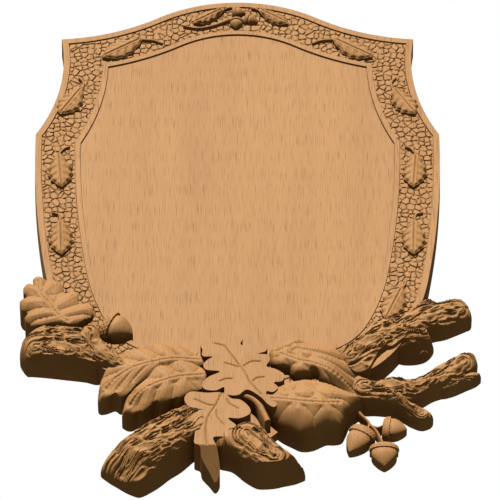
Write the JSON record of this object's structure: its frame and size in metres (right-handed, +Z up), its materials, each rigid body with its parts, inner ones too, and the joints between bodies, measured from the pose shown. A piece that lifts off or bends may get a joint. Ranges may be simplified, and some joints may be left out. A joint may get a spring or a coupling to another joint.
{
  "type": "carved shield plaque",
  "caption": "Flat-backed wooden trophy shield with a carved oak-leaf border and a bunch of oak leaves, acorns and bark-covered branches across its foot.",
  "frame": {"origin": "on the flat back face, at the middle of the panel, where the plaque meets the wall", "axes": "+Z up the shield, +Y out of the back into the wall, +X to the viewer's right; the carving faces -Y"},
  "size_m": [0.4505, 0.0458, 0.641],
  "materials": {
    "carved_wood": "oiled beech, fine upright grain"
  },
  "bodies": {
    "root": {"carved_shield_plaque": "carved_wood"}
  },
  "joints": []
}
